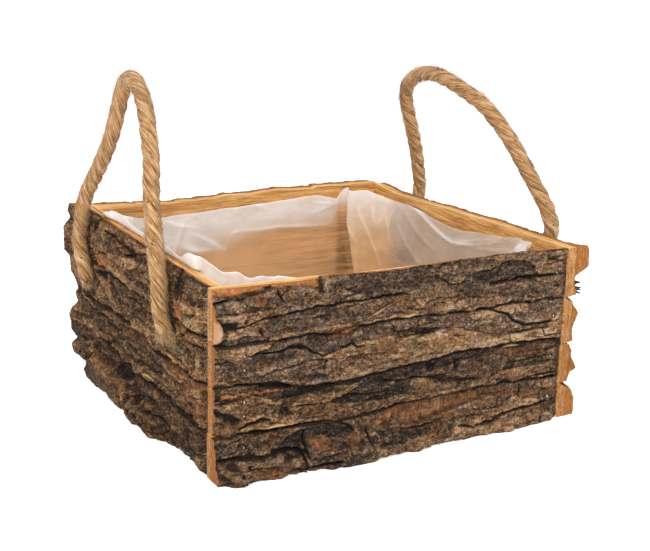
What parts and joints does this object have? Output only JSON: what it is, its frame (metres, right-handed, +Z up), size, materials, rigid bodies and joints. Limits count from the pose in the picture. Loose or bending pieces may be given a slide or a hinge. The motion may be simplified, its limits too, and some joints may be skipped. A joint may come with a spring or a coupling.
{
  "type": "wooden basket",
  "caption": "Square open planter basket with walls of stapled bark-faced slats, a board bottom, a film liner and a rope handle that swings on each side.",
  "frame": {"origin": "centre of the flat underside, on the surface that the basket stands on", "axes": "+Z up, -Y towards the front wall, +X to the right; the handles are on the -X and +X walls"},
  "size_m": [0.2976, 0.275, 0.2301],
  "materials": {
    "bark_slat": "rough bark outside, split wood inside",
    "pale_wood": "sawn, unpainted",
    "film": "translucent crinkled film",
    "rope": "three-strand jute",
    "steel": "bright wire"
  },
  "bodies": {
    "basket": {"front_slat_1": "bark_slat", "front_slat_2": "bark_slat", "front_slat_3": "bark_slat", "front_slat_4": "bark_slat", "right_slat_1": "bark_slat", "right_slat_2": "bark_slat", "right_slat_3": "bark_slat", "right_slat_4": "bark_slat", "back_slat_1": "bark_slat", "back_slat_2": "bark_slat", "back_slat_3": "bark_slat", "back_slat_4": "bark_slat", "left_slat_1": "bark_slat", "left_slat_2": "bark_slat", "left_slat_3": "bark_slat", "left_slat_4": "bark_slat", "corner_post_front_right": "pale_wood", "corner_post_back_right": "pale_wood", "corner_post_back_left": "pale_wood", "corner_post_front_left": "pale_wood", "bottom_board": "pale_wood", "liner": "film", "front_staple_1_left": "steel", "front_staple_1_right": "steel", "front_staple_2_left": "steel", "front_staple_2_right": "steel", "front_staple_3_left": "steel", "front_staple_3_right": "steel", "front_nail": "steel", "right_staple_1_left": "steel", "right_staple_1_right": "steel", "right_staple_2_left": "steel", "right_staple_2_right": "steel", "right_staple_3_left": "steel", "right_staple_3_right": "steel", "right_nail": "steel", "back_staple_1_left": "steel", "back_staple_1_right": "steel", "back_staple_2_left": "steel", "back_staple_2_right": "steel", "back_staple_3_left": "steel", "back_staple_3_right": "steel", "back_nail": "steel", "left_staple_1_left": "steel", "left_staple_1_right": "steel", "left_staple_2_left": "steel", "left_staple_2_right": "steel", "left_staple_3_left": "steel", "left_staple_3_right": "steel", "left_nail": "steel", "left_handle_tail_front": "rope", "left_tail_staple_front": "steel", "left_handle_tail_back": "rope", "left_tail_staple_back": "steel", "right_handle_tail_front": "rope", "right_tail_staple_front": "steel", "right_handle_tail_back": "rope", "right_tail_staple_back": "steel"},
    "left_handle": {"left_handle_arch": "rope"},
    "right_handle": {"right_handle_arch": "rope"}
  },
  "joints": [
    {"name": "left_handle_swing", "type": "hinge", "parent": "basket", "child": "left_handle", "pos_m": [-0.1425, 0, 0.124], "axis": [0, 1, 0], "range_deg": [-107, 68], "stiffness_Nm_per_rad": 0.3},
    {"name": "right_handle_swing", "type": "hinge", "parent": "basket", "child": "right_handle", "pos_m": [0.1425, 0, 0.124], "axis": [0, -1, 0], "range_deg": [-123, 52], "stiffness_Nm_per_rad": 0.3}
  ]
}
